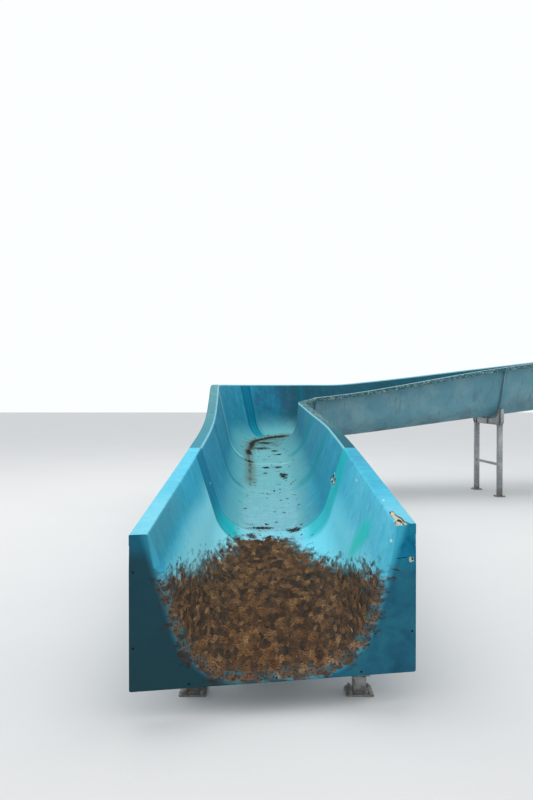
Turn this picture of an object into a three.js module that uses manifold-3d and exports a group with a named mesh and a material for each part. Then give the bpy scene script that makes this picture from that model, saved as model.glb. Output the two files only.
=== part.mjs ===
// Run-out of an open moulded water flume: seven fibreglass trough sections bolted end to end.
// Millimetres, +Z up. The exit end faces -Y; the run climbs along +Y and bends right, to +X.
// Each section is one moulding: a rounded trough with flat lips, their edges turned down,
// and a flange round the outside at each joint. Cradles on posts carry the joints.

import * as THREE from 'three';
import { mergeVertices } from 'three/addons/utils/BufferGeometryUtils.js';
import Module from 'manifold-3d';

const wasm = await Module();
wasm.setup();

// Trough
const skin = 10;               // wall thickness
const floorHalf = 180;         // flat part of the floor, each side of the middle
const cornerRadius = 430;      // between floor and wall
const lipWidth = 134;
const lipDrop = 70;            // turned-down outer edge of the lip
const rimHalf = 781;           // middle to the inner edge of the lip on a straight run
const exitRimHalf = 800;       // the left lip narrows towards the exit
const wallHeight = 915;
const rimRound = 22;           // wall to lip
const edgeRound = 7;           // lip to turned-down edge
const filletDown = 14;         // where the wall's underside turns into the lip's

// Joints
const flangeDepth = 60;
const flangeThickness = 12;
const seat = 0.3;              // gap where pieces touch

// Exit end
const exitSkew = Math.tan(THREE.MathUtils.degToRad(9.3));  // the left side reaches further out
const exitRound = 60;          // floor and lower wall to end face
const exitWallRound = 48;      // upper wall to end face
const exitWallDrop = 170;      // from the rim down to where that is measured
const exitRimRounds = [20, 10];  // the same at the rim; the lip itself ends square
const exitPlate = 12;
const exitPlateInset = 0.5;    // behind the moulding's own edges
const exitPlateOverlap = 3;

// Straight runs and bends in order: length along the floor, and degrees turned to the left
const straight = 3600;
const bendLength = 750;
const bendTurn = -43;
const run = [
  { length: straight, turn: 0 },
  { length: 2100, turn: 0 },
  { length: 1700, turn: 3 },
  { length: 1600, turn: 0 },
  { length: bendLength, turn: bendTurn },
  { length: bendLength, turn: bendTurn },
  { length: straight, turn: 0 },
  { length: straight, turn: 0 },
];

// Height of the floor, wall heights and rim half widths at points along the run.
// The wall outside the bend stands higher, and the one inside it is low and steep.
const levels = [
  { at: 0, floor: 240, left: 915, right: 915, leftRim: exitRimHalf, rightRim: rimHalf },
  { at: 3600, floor: 490, left: 915, right: 915, leftRim: rimHalf, rightRim: rimHalf },
  { at: 5700, floor: 685, left: 925, right: 830, leftRim: rimHalf, rightRim: rimHalf },
  { at: 7400, floor: 915, left: 1130, right: 700, leftRim: rimHalf, rightRim: 750 },
  { at: 9000, floor: 1070, left: 1060, right: 728, leftRim: rimHalf, rightRim: 640 },
  { at: 9750, floor: 1100, left: 1040, right: 745, leftRim: rimHalf, rightRim: 635 },
  { at: 10500, floor: 1130, left: 1015, right: 770, leftRim: rimHalf, rightRim: 690 },
  { at: 11400, floor: 1210, left: 950, right: 800, leftRim: rimHalf, rightRim: 730 },
  { at: 14100, floor: 1550, left: wallHeight, right: wallHeight, leftRim: rimHalf, rightRim: rimHalf },
  { at: 17700, floor: 1980, left: wallHeight, right: wallHeight, leftRim: rimHalf, rightRim: rimHalf },
];

// Sections: name, start and end along the run, and how many steps the moulding is drawn in
const sections = [
  { name: 'exit_section', from: 0, to: 3600, steps: 4 },
  { name: 'section_2', from: 3600, to: 5700, steps: 4 },
  { name: 'section_3', from: 5700, to: 7400, steps: 6 },
  { name: 'bend_section_4', from: 7400, to: 9750, steps: 20 },
  { name: 'bend_section_5', from: 9750, to: 10500, steps: 8 },
  { name: 'section_6', from: 10500, to: 14100, steps: 8 },
  { name: 'section_7', from: 14100, to: 17700, steps: 4 },
];

// Supports
const cradleSeat = 0.7;        // gap under the trough, which also curves along the run
const cradleThickness = 60;
const cradleDepth = 120;       // under the flange
const cradleHalf = 690;
const cradleTop = 190;         // its arms end this far above the floor
const postSpacing = 1120;
const postWide = 90;
const baseWide = 180;
const baseThickness = 12;
const tieHigh = 50;
const tieFromPostHeight = 600; // shorter posts have no tie
const tieShare = 0.45;         // height of the tie as a share of the post's
const exitCradleAt = 300;

const moulding = new THREE.MeshStandardMaterial({ color: 0x2f9fc4, roughness: 0.35, metalness: 0 });
const mouldingFaded = new THREE.MeshStandardMaterial({ color: 0x3a97b4, roughness: 0.5, metalness: 0 });
const galvanised = new THREE.MeshStandardMaterial({ color: 0x8d9294, roughness: 0.55, metalness: 0.7 });

// Place and heading on the run at a distance from the exit
function runAt(distance) {
  const point = new THREE.Vector2(0, 0);
  let heading = 0;
  let left = distance;
  for (const [index, piece] of run.entries()) {
    const last = index === run.length - 1;
    const step = last || left < piece.length ? left : piece.length;
    const turn = THREE.MathUtils.degToRad(piece.turn) * step / piece.length;
    const chord = turn === 0 ? step : step * Math.sin(turn / 2) / (turn / 2);
    const toward = heading + turn / 2;
    point.x -= chord * Math.sin(toward);
    point.y += chord * Math.cos(toward);
    heading += turn;
    left -= step;
    if (left <= 0) break;
  }
  return { point, heading };
}

// One of the levels at a distance, on a smooth curve through its stated values
function levelAt(distance, key) {
  const slope = (a, b) => (levels[b][key] - levels[a][key]) / (levels[b].at - levels[a].at);
  const last = levels.length - 1;
  if (distance <= 0) return levels[0][key] + slope(0, 1) * distance;
  if (distance >= levels[last].at) {
    return levels[last][key] + slope(last - 1, last) * (distance - levels[last].at);
  }
  const i = levels.findIndex((level, n) => n < last && distance < levels[n + 1].at);
  const span = levels[i + 1].at - levels[i].at;
  const t = (distance - levels[i].at) / span;
  const startSlope = i === 0 ? slope(0, 1) : slope(i - 1, i + 1);
  const endSlope = i + 1 === last ? slope(last - 1, last) : slope(i, i + 2);
  const t2 = t * t;
  const t3 = t2 * t;
  return levels[i][key] * (2 * t3 - 3 * t2 + 1) + levels[i + 1][key] * (3 * t2 - 2 * t3)
    + span * (startSlope * (t3 - 2 * t2 + t) + endSlope * (t3 - t2));
}

// A point of the trough: distance along the run, offset to the right, height above the floor
function place(distance, across, up) {
  const { point, heading } = runAt(distance);
  return new THREE.Vector3(
    point.x + across * Math.cos(heading),
    point.y + across * Math.sin(heading),
    levelAt(distance, 'floor') + up,
  );
}

// Angle of the wall's outward normal below the horizontal, where it leaves the corner
function wallAngle(rim, height) {
  const across = rim - floorHalf;
  const up = height - cornerRadius;
  return Math.atan2(up, across) - Math.acos(cornerRadius / Math.hypot(across, up));
}

// Half of the section from the middle of the floor outwards: pairs of a top point and an
// under point. Depth is the skin, or the flange's depth.
const cornerSteps = 7;
function halfSection(rim, height, flange) {
  const depth = flange ? flangeDepth : skin;
  const lean = wallAngle(rim, height);
  const normal = new THREE.Vector2(Math.cos(lean), Math.sin(lean));
  const upWall = new THREE.Vector2(-Math.sin(lean), Math.cos(lean));
  const pairs = [[new THREE.Vector2(0, 0), new THREE.Vector2(0, -depth)]];
  for (let i = 0; i <= cornerSteps; i++) {
    const angle = THREE.MathUtils.lerp(-Math.PI / 2, lean, i / cornerSteps);
    const onArc = (radius) => new THREE.Vector2(
      floorHalf + radius * Math.cos(angle), cornerRadius + radius * Math.sin(angle));
    pairs.push([onArc(cornerRadius), onArc(cornerRadius + depth)]);
  }
  const rimEdge = new THREE.Vector2(rim, height);
  const onWall = (down, out = 0) => rimEdge.clone()
    .addScaledVector(upWall, -down).addScaledVector(normal, out);
  pairs.push([onWall(exitWallDrop), onWall(exitWallDrop, depth)]);

  // The lip: two points round the rim, then flat, then down its outer edge
  const setBack = rimRound * Math.tan((Math.PI / 2 + lean) / 2);
  const bisector = setBack - rimRound * Math.sin((Math.PI / 2 + lean) / 2);
  const outer = Math.min(rim, rimHalf) + lipWidth;
  const low = height - lipDrop;
  const top = [
    onWall(setBack),
    onWall(bisector, bisector / 2),
    new THREE.Vector2(rim + setBack, height),
    new THREE.Vector2(outer - edgeRound, height),
    new THREE.Vector2(outer, height - edgeRound),
    new THREE.Vector2(outer, low),
  ];
  const flangeStep = skin;
  const below = flange ? [
    onWall(lipDrop + 4 * flangeStep, depth),
    onWall(lipDrop + 2 * flangeStep, depth + flangeStep),
    new THREE.Vector2(outer - 5 * flangeStep, low),
    new THREE.Vector2(outer - 3 * flangeStep, low),
    new THREE.Vector2(outer - 2 * flangeStep, low),
    new THREE.Vector2(outer - flangeStep, low),
  ] : [
    onWall(skin + filletDown, skin),
    onWall(skin + filletDown / 3, skin + filletDown / 4),
    new THREE.Vector2(rim + setBack + skin, height - skin),
    new THREE.Vector2(outer - skin - edgeRound, height - skin),
    new THREE.Vector2(outer - skin, height - skin - edgeRound),
    new THREE.Vector2(outer - skin, low),
  ];
  top.forEach((point, i) => pairs.push([point, below[i]]));
  return pairs;
}

// The whole section at a distance, from the left lip's edge to the right one
function wholeSection(distance, flange) {
  const half = (side) => halfSection(
    levelAt(distance, side + 'Rim'), levelAt(distance, side), flange);
  const mirror = (point) => new THREE.Vector2(-point.x, point.y);
  const left = half('left').slice(1).reverse().map((pair) => pair.map(mirror));
  return [...left, ...half('right')];
}

// How far along the run the exit's slanted end sets a point back; it fades out over the section
function slant(distance, across) {
  return across * exitSkew * Math.max(0, 1 - distance / straight);
}

function ringAt(distance, flange) {
  const pairs = wholeSection(distance, flange);
  const put = (point) => place(distance + slant(distance, point.x), point.x, point.y);
  return { top: pairs.map((pair) => put(pair[0])), under: pairs.map((pair) => put(pair[1])) };
}

// Radius from the inner surface to the end face at the exit, for each pair of the section
const lipPoints = 6;           // pairs of a half section that belong to the lip
function exitRadii(count) {
  const half = (count + 1) / 2;
  const radii = Array(half).fill(exitRound);
  radii[half - lipPoints - 1] = exitWallRound;
  for (let i = 0; i < lipPoints; i++) radii[half - lipPoints + i] = exitRimRounds[i] ?? 0;
  return [...radii.slice(1).reverse(), ...radii];
}

// Rings round the exit end, where the skin rolls outwards into the end face
const roundSteps = 5;
function exitRings() {
  const pairs = wholeSection(0, false);
  const radii = exitRadii(pairs.length);
  return Array.from({ length: roundSteps + 1 }, (_, k) => {
    const angle = (Math.PI / 2) * (1 - k / roundSteps);
    const ring = { top: [], under: [] };
    pairs.forEach(([top, under], i) => {
      const round = radii[i];
      const inward = under.clone().sub(top);
      const depth = inward.length();
      inward.normalize();
      const inner = Math.max(round - depth, 0);
      const topPoint = top.clone().addScaledVector(inward, round * (1 - Math.cos(angle)));
      const underPoint = top.clone()
        .addScaledVector(inward, Math.max(round - inner * Math.cos(angle), depth));
      const slantTop = slant(0, topPoint.x) + round * (1 - Math.sin(angle));
      const slantUnder = slant(0, underPoint.x) + round - inner * Math.sin(angle);
      ring.top.push(place(slantTop, topPoint.x, topPoint.y));
      ring.under.push(place(slantUnder, underPoint.x, underPoint.y));
    });
    return ring;
  });
}

// A closed skin through rings of paired top and under points
function skinThrough(rings) {
  const count = rings[0].top.length;
  const positions = [];
  rings.forEach((ring) => [...ring.top, ...ring.under].forEach((p) => positions.push(p.x, p.y, p.z)));
  const top = (k, i) => k * 2 * count + i;
  const under = (k, i) => top(k, i) + count;
  const index = [];
  const quad = (a, b, c, d) => index.push(a, b, c, a, c, d);
  for (let k = 0; k < rings.length - 1; k++) {
    for (let i = 0; i < count - 1; i++) {
      quad(top(k, i), top(k, i + 1), top(k + 1, i + 1), top(k + 1, i));
      quad(under(k, i), under(k + 1, i), under(k + 1, i + 1), under(k, i + 1));
    }
    quad(top(k, 0), top(k + 1, 0), under(k + 1, 0), under(k, 0));
    quad(top(k, count - 1), under(k, count - 1), under(k + 1, count - 1), top(k + 1, count - 1));
  }
  const end = rings.length - 1;
  for (let i = 0; i < count - 1; i++) {
    quad(top(0, i), under(0, i), under(0, i + 1), top(0, i + 1));
    quad(top(end, i), top(end, i + 1), under(end, i + 1), under(end, i));
  }
  const geometry = new THREE.BufferGeometry();
  geometry.setAttribute('position', new THREE.Float32BufferAttribute(positions, 3));
  geometry.setIndex(index);
  return welded(geometry);
}

// Shared vertices merged, and the triangles that this flattens dropped
const weldDistance = 1e-3;
function welded(geometry) {
  const bare = geometry.clone();
  bare.deleteAttribute('normal');
  bare.deleteAttribute('uv');
  const merged = mergeVertices(bare, weldDistance);
  const kept = [];
  const index = merged.index.array;
  for (let i = 0; i < index.length; i += 3) {
    const [a, b, c] = [index[i], index[i + 1], index[i + 2]];
    if (a !== b && b !== c && a !== c) kept.push(a, b, c);
  }
  merged.setIndex(kept);
  return merged;
}

function toSolid(geometry) {
  const flat = welded(geometry);
  return new wasm.Manifold(new wasm.Mesh({
    numProp: 3,
    vertProperties: Float32Array.from(flat.attributes.position.array),
    triVerts: Uint32Array.from(flat.index.array),
  }));
}

function toGeometry(solid) {
  const mesh = solid.getMesh();
  const geometry = new THREE.BufferGeometry();
  geometry.setAttribute('position', new THREE.BufferAttribute(Float32Array.from(mesh.vertProperties), 3));
  geometry.setIndex(Array.from(mesh.triVerts));
  return geometry;
}

// The flat end face at the exit: a plate round the trough, down to the flange's depth
function endPlate() {
  const outer = rimHalf + lipWidth - exitPlateInset;
  const high = wallHeight - exitPlateInset;
  const pairs = wholeSection(0, false);
  const radii = exitRadii(pairs.length);
  const squarePoints = lipPoints - exitRimRounds.length;
  const hole = pairs.map(([top, under], i) => {
    const inward = under.clone().sub(top).normalize();
    return top.clone().addScaledVector(inward, radii[i] - exitPlateOverlap);
  }).slice(squarePoints, -squarePoints).filter(({ x }) => x !== 0);
  const rightTop = pairs.at(-squarePoints)[0].x;
  const leftTop = pairs[squarePoints - 1][0].x;
  const outline = [
    new THREE.Vector2(leftTop, high),
    ...hole,
    new THREE.Vector2(rightTop, high),
    new THREE.Vector2(outer, high),
    new THREE.Vector2(outer, -flangeDepth),
    new THREE.Vector2(-outer, -flangeDepth),
    new THREE.Vector2(-outer, high),
  ];
  const geometry = welded(new THREE.ExtrudeGeometry(new THREE.Shape(outline), {
    depth: exitPlate, bevelEnabled: false,
  }));
  const points = geometry.attributes.position;
  for (let i = 0; i < points.count; i++) {
    const across = points.getX(i);
    const p = place(slant(0, across) + exitPlateInset + points.getZ(i), across, points.getY(i));
    points.setXYZ(i, p.x, p.y, p.z);
  }
  // Extruding along the run mirrors the faces, so their order is turned round
  const index = geometry.index.array;
  for (let i = 0; i < index.length; i += 3) [index[i], index[i + 1]] = [index[i + 1], index[i]];
  return geometry;
}

function sectionGeometry({ from, to, steps }) {
  const isExit = from === 0;
  const start = from + seat / 2;
  const end = to - seat / 2;
  const firstClear = isExit ? from + exitRound : start + flangeThickness;
  const lastClear = end - flangeThickness;
  const rings = isExit
    ? exitRings()
    : [ringAt(start, true), ringAt(firstClear, true), ringAt(firstClear, false)];
  for (let i = 1; i < steps; i++) {
    rings.push(ringAt(THREE.MathUtils.lerp(firstClear, lastClear, i / steps), false));
  }
  rings.push(ringAt(lastClear, false), ringAt(lastClear, true), ringAt(end, true));
  const moulded = skinThrough(rings);
  return isExit ? toGeometry(toSolid(moulded).add(toSolid(endPlate()))) : moulded;
}

// A cradle across the run: a beam with two arms that follow the trough's underside and its slope
function cradleGeometry(distance, flange) {
  const depth = flange ? flangeDepth : skin;
  const bottom = -depth - cradleSeat - cradleDepth;
  const hollow = wholeSection(distance, flange)
    .filter(([, under]) => under.y < cradleTop && Math.abs(under.x) > 1)
    .map(([top, under]) => {
      const outward = under.clone().sub(top).normalize();
      return under.clone().addScaledVector(outward, cradleSeat);
    });
  const outline = [
    ...hollow,
    new THREE.Vector2(cradleHalf, hollow.at(-1).y),
    new THREE.Vector2(cradleHalf, bottom + cradleDepth / 2),
    new THREE.Vector2(cradleHalf - cradleDepth / 2, bottom),
    new THREE.Vector2(cradleDepth / 2 - cradleHalf, bottom),
    new THREE.Vector2(-cradleHalf, bottom + cradleDepth / 2),
    new THREE.Vector2(-cradleHalf, hollow[0].y),
  ];
  const half = cradleThickness / 2;
  const rise = levelAt(distance + half, 'floor') - levelAt(distance - half, 'floor');
  const geometry = new THREE.ExtrudeGeometry(new THREE.Shape(outline), {
    depth: cradleThickness, bevelEnabled: false,
  });
  geometry.rotateX(Math.PI / 2).translate(0, half, 0);
  const points = geometry.attributes.position;
  const levelUpTo = bottom + cradleDepth / 2 + seat;
  for (let i = 0; i < points.count; i++) {
    const up = points.getZ(i);
    if (up > levelUpTo) points.setZ(i, up + rise * points.getY(i) / cradleThickness);
  }
  return geometry;
}

// A post on its base plate, welded as one piece, standing on z = 0
function postGeometry(height) {
  const post = new THREE.BoxGeometry(postWide, postWide, height).translate(0, 0, height / 2);
  const base = new THREE.BoxGeometry(baseWide, baseWide, baseThickness).translate(0, 0, baseThickness / 2);
  return toGeometry(toSolid(post).add(toSolid(base)));
}

function addMesh(parent, name, geometry, material) {
  const mesh = new THREE.Mesh(geometry, material);
  mesh.name = name;
  parent.add(mesh);
  return mesh;
}

function addSupport(parent, number, distance, flange) {
  const { point, heading } = runAt(distance);
  const floor = levelAt(distance, 'floor');
  const support = new THREE.Group();
  support.position.set(point.x, point.y, 0);
  support.rotation.z = heading;
  parent.add(support);

  const cradle = addMesh(support, `cradle_${number}`, cradleGeometry(distance, flange), galvanised);
  cradle.position.z = floor;

  const postHeight = floor - (flange ? flangeDepth : skin) - cradleSeat - cradleDepth - seat;
  for (const [side, sign] of [['left', -1], ['right', 1]]) {
    const post = addMesh(support, `post_${number}_${side}`, postGeometry(postHeight), galvanised);
    post.position.x = sign * postSpacing / 2;
  }
  if (postHeight > tieFromPostHeight) {
    const length = postSpacing - postWide - 2 * seat;
    const bar = new THREE.BoxGeometry(length, tieHigh, tieHigh);
    const tie = addMesh(support, `tie_${number}`, bar, galvanised);
    tie.position.z = postHeight * tieShare;
  }
}

const slide = new THREE.Group();
sections.forEach((section, i) => {
  addMesh(slide, section.name, sectionGeometry(section), i < 1 ? moulding : mouldingFaded);
});

addSupport(slide, 1, exitCradleAt, false);
sections.forEach((section, i) => addSupport(slide, i + 2, section.to, true));

// The origin is on the ground, under the middle of the whole run
slide.updateMatrixWorld(true);
const box = new THREE.Box3().setFromObject(slide);
slide.position.set(-(box.min.x + box.max.x) / 2, -(box.min.y + box.max.y) / 2, -box.min.z);

export default slide;
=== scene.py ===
import math
import random
import bmesh
import bpy
from mathutils import Matrix, Vector, noise


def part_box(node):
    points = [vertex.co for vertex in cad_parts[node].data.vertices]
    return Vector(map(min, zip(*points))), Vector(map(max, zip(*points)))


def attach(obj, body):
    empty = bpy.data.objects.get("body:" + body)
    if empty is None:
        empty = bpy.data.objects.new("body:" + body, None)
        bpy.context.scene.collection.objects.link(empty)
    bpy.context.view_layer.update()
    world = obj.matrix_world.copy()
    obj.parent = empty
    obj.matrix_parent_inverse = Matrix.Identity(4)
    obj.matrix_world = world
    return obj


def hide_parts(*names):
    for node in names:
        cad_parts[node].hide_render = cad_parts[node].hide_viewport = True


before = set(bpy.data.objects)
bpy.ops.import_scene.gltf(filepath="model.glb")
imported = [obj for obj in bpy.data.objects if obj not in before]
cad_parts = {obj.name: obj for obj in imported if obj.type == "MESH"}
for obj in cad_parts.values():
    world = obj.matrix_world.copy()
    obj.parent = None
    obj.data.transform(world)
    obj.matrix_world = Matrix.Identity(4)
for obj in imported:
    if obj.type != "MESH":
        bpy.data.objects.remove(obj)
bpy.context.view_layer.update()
print("frame loaded:", len(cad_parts), "nodes")

# The run of the trough, in metres, as the frame has it
trough = dict(
    skin=0.010, floorHalf=0.180, cornerRadius=0.430, rimHalf=0.781, lipWidth=0.1339, lipDrop=0.070,
    rimRound=0.022, edgeRound=0.007, innerEdgeRound=0.004, hemRound=0.0025,
    flangeDepth=0.060, flangeThickness=0.012, seat=0.0003,
)
straightLength = 3.6
runParts = [                      # length along the floor, degrees turned to the left
    (straightLength, 0), (2.1, 0), (1.7, 3), (1.6, 0), (0.75, -43), (0.75, -43),
    (straightLength, 0), (straightLength, 0),
]
# Where along the run, the floor, the heights of both walls and the half widths at their rims
levels = [dict(zip(("at", "floor", "left", "right", "leftRim", "rightRim"), row)) for row in (
    (0, 0.240, 0.915, 0.915, 0.800, 0.781), (3.6, 0.490, 0.915, 0.915, 0.781, 0.781),
    (5.7, 0.685, 0.925, 0.830, 0.781, 0.781), (7.4, 0.915, 1.130, 0.700, 0.781, 0.750),
    (9.0, 1.070, 1.060, 0.728, 0.781, 0.640), (9.75, 1.100, 1.040, 0.745, 0.781, 0.635),
    (10.5, 1.130, 1.015, 0.770, 0.781, 0.690), (11.4, 1.210, 0.950, 0.800, 0.781, 0.730),
    (14.1, 1.550, 0.915, 0.915, 0.781, 0.781), (17.7, 1.980, 0.915, 0.915, 0.781, 0.781),
)]
exitSkew = math.tan(math.radians(9.3))     # the left side reaches further out
exitLow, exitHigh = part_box("exit_section")
startX = (exitLow.x + exitHigh.x) / 2
startY = exitHigh.y - straightLength + trough["seat"] / 2


def mixed(a, b, t):
    return a + (b - a) * t


def smooth(value, low, high):
    t = min(max((value - low) / (high - low), 0), 1)
    return t * t * (3 - 2 * t)


def wayAt(angle):
    return Vector((math.cos(angle), math.sin(angle)))


def runAt(distance):              # place and heading on the run
    x, y, heading, left = startX, startY, 0.0, distance
    for number, (length, turned) in enumerate(runParts):
        last = number == len(runParts) - 1
        step = left if last or left < length else length
        turn = math.radians(turned) * step / length
        chord = step if turned == 0 or step == 0 else step * math.sin(turn / 2) / (turn / 2)
        x -= chord * math.sin(heading + turn / 2)
        y += chord * math.cos(heading + turn / 2)
        heading += turn
        left -= step
        if left <= 0:
            break
    return x, y, heading


def levelAt(distance, key):       # one of the levels, on a smooth curve through its values
    at = [row["at"] for row in levels]
    values = [row[key] for row in levels]
    last = len(at) - 1

    def slope(a, b):
        return (values[b] - values[a]) / (at[b] - at[a])
    if distance <= 0:
        return values[0] + slope(0, 1) * distance
    if distance >= at[last]:
        return values[last] + slope(last - 1, last) * (distance - at[last])
    i = next(n for n in range(last) if distance < at[n + 1])
    span = at[i + 1] - at[i]
    t = (distance - at[i]) / span
    startSlope, endSlope = slope(max(i - 1, 0), i + 1), slope(i, min(i + 2, last))
    bend = startSlope * (t ** 3 - 2 * t * t + t) + endSlope * (t ** 3 - t * t)
    return values[i] + (values[i + 1] - values[i]) * (3 * t * t - 2 * t ** 3) + span * bend


def slant(distance, across):      # how far the exit's slanted end sets a point back
    return across * exitSkew * max(0, 1 - distance / straightLength)


def place(distance, across, up):
    x, y, heading = runAt(distance)
    floor = levelAt(distance, "floor")
    return Vector((x + across * math.cos(heading), y + across * math.sin(heading), floor + up))


# Shader maths as plain expressions
class Wire:
    def __init__(self, paint, socket):
        self.paint = paint
        self.socket = socket

    def maths(self, operation, first, second=0.0):
        return self.paint.add("ShaderNodeMath", dict(operation=operation), {0: first, 1: second})

    def __add__(self, other):
        return self.maths("ADD", self, other)

    def __radd__(self, other):
        return self.maths("ADD", other, self)

    def __sub__(self, other):
        return self.maths("SUBTRACT", self, other)

    def __rsub__(self, other):
        return self.maths("SUBTRACT", other, self)

    def __mul__(self, other):
        return self.maths("MULTIPLY", self, other)

    def __rmul__(self, other):
        return self.maths("MULTIPLY", other, self)

    def __truediv__(self, other):
        return self.maths("DIVIDE", self, other)

    def __abs__(self):
        return self.maths("ABSOLUTE", self)

    def most(self, other):
        return self.maths("MAXIMUM", self, other)

    def held(self):               # kept between 0 and 1
        return self.maths("MAXIMUM", self.maths("MINIMUM", self, 1.0), 0.0)


# A material; its colour is painted over in layers
class Paint:
    def __init__(self, name):
        self.material = bpy.data.materials.new(name)
        self.material.use_nodes = True
        self.tree = self.material.node_tree
        self.tree.nodes.clear()
        self.spot = self.add("ShaderNodeTexCoord", out="Object")    # the point in the row frame
        self.colour = None

    def add(self, kind, settings=None, inputs=None, out=0):
        node = self.tree.nodes.new(kind)
        for key, value in (settings or {}).items():
            if key == "stops":
                ramp = node.color_ramp
                while len(ramp.elements) < len(value):
                    ramp.elements.new(1.0)
                for element, (where, colour) in zip(ramp.elements, value):
                    element.position = where
                    element.color = (*colour, 1.0)
            else:
                setattr(node, key, value)
        for key, value in (inputs or {}).items():
            if isinstance(value, Wire):
                self.tree.links.new(value.socket, node.inputs[key])
            else:
                node.inputs[key].default_value = value
        return Wire(self, node.outputs[out]) if node.outputs else node

    def attribute(self, name):
        return self.add("ShaderNodeAttribute", dict(attribute_name=name), out="Fac")

    def upness(self):
        facing = self.add("ShaderNodeNewGeometry", out="Normal")
        return self.add("ShaderNodeSeparateXYZ", inputs={0: facing}, out="Z")

    def parts(self):              # the point's x, y and z
        node = self.add("ShaderNodeSeparateXYZ", inputs={0: self.spot}).socket.node
        return [Wire(self, node.outputs[axis]) for axis in "XYZ"]

    def joined(self, x, y, z=0.0):
        return self.add("ShaderNodeCombineXYZ", inputs={0: x, 1: y, 2: z})

    def stretched(self, shares, push=0.0):
        return self.joined(*[part * share + push for part, share in zip(self.parts(), shares)])

    def noise(self, scale, detail=3.0, rough=0.5, warp=0.0, at=None):
        inputs = {"Vector": at or self.spot, "Scale": scale, "Detail": detail, "Roughness": rough}
        inputs["Distortion"] = warp
        return self.add("ShaderNodeTexNoise", inputs=inputs, out="Fac")

    def sway(self, *kind, **more):      # noise about 0
        return self.noise(*kind, **more) - 0.5

    def patches(self, low, high, *kind, **more):
        return self.step(self.noise(*kind, **more), low, high)

    def cells(self, scale, feature="F1", out="Distance", at=None):
        inputs = {"Vector": at or self.spot, "Scale": scale}
        return self.add("ShaderNodeTexVoronoi", dict(feature=feature), inputs, out)

    def cellValue(self, scale, at=None):      # one chance value for each cell
        return self.add("ShaderNodeSeparateColor", inputs={0: self.cells(scale, out="Color", at=at)})

    def step(self, value, low, high):   # 0 below low, 1 above high
        ends = {"Value": value, "From Min": low, "From Max": high}
        return self.add("ShaderNodeMapRange", dict(interpolation_type="SMOOTHSTEP"), ends)

    def fall(self, value, low, high):   # 1 below low, 0 above high
        return 1 - self.step(value, low, high)

    def between(self, value, low, fullLow, fullHigh, high):
        return self.step(value, low, fullLow) * self.fall(value, fullHigh, high)

    def ramp(self, value, stops):
        return self.add("ShaderNodeValToRGB", dict(stops=stops), {0: value.held()}, out="Color")

    def mix(self, share, first, second):
        first, second = [c if isinstance(c, Wire) else (*c, 1.0) for c in (first, second)]
        return self.add("ShaderNodeMix", dict(data_type="RGBA"), {0: share, 6: first, 7: second}, out=2)

    def over(self, share, tint):
        self.colour = self.mix(share, self.colour, tint)

    def bump(self, height, distance, strength=1.0, under=None):
        inputs = {"Height": height, "Distance": distance, "Strength": strength}
        if under is not None:
            inputs["Normal"] = under
        return self.add("ShaderNodeBump", inputs=inputs)

    def finish(self, rough, normal, **more):
        inputs = {"Base Color": self.colour, "Roughness": rough, "Normal": normal}
        inputs.update({key.replace("_", " "): value for key, value in more.items()})
        shader = self.add("ShaderNodeBsdfPrincipled", inputs=inputs)
        self.add("ShaderNodeOutputMaterial", inputs={"Surface": shader})
        return self.material


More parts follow.
